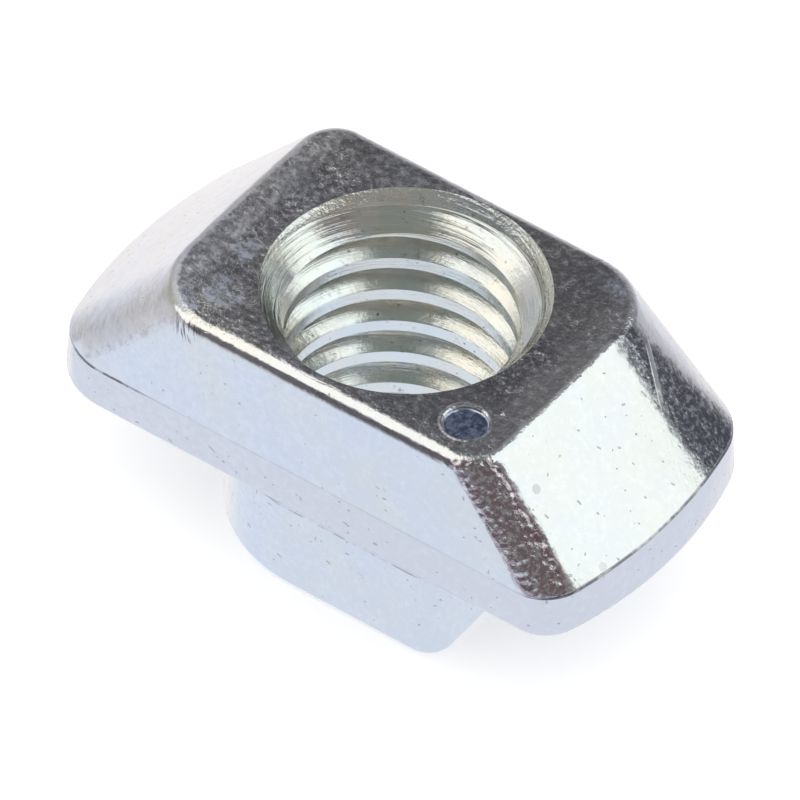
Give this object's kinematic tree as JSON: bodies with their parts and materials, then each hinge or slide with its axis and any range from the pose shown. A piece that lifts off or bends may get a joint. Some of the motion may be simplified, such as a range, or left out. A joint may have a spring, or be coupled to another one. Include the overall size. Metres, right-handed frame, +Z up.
{
  "type": "t slot nut",
  "caption": "Quarter-turn T slot nut: a long head with two bevelled ends over a square neck, and a countersunk threaded hole right through.",
  "frame": {"origin": "on the thread axis, at the underside of the neck, where the nut stands", "axes": "+Z up the thread axis from the neck to the head's top face, +X along the head, towards the end beside the punch mark; the screw leaves along -Z"},
  "size_m": [0.0192, 0.0098, 0.0082],
  "materials": {
    "zinc_plated_steel": "bright zinc plating with a faint blue tint, over cold-forged steel"
  },
  "bodies": {
    "root": {"t_slot_nut": "zinc_plated_steel"}
  },
  "joints": []
}
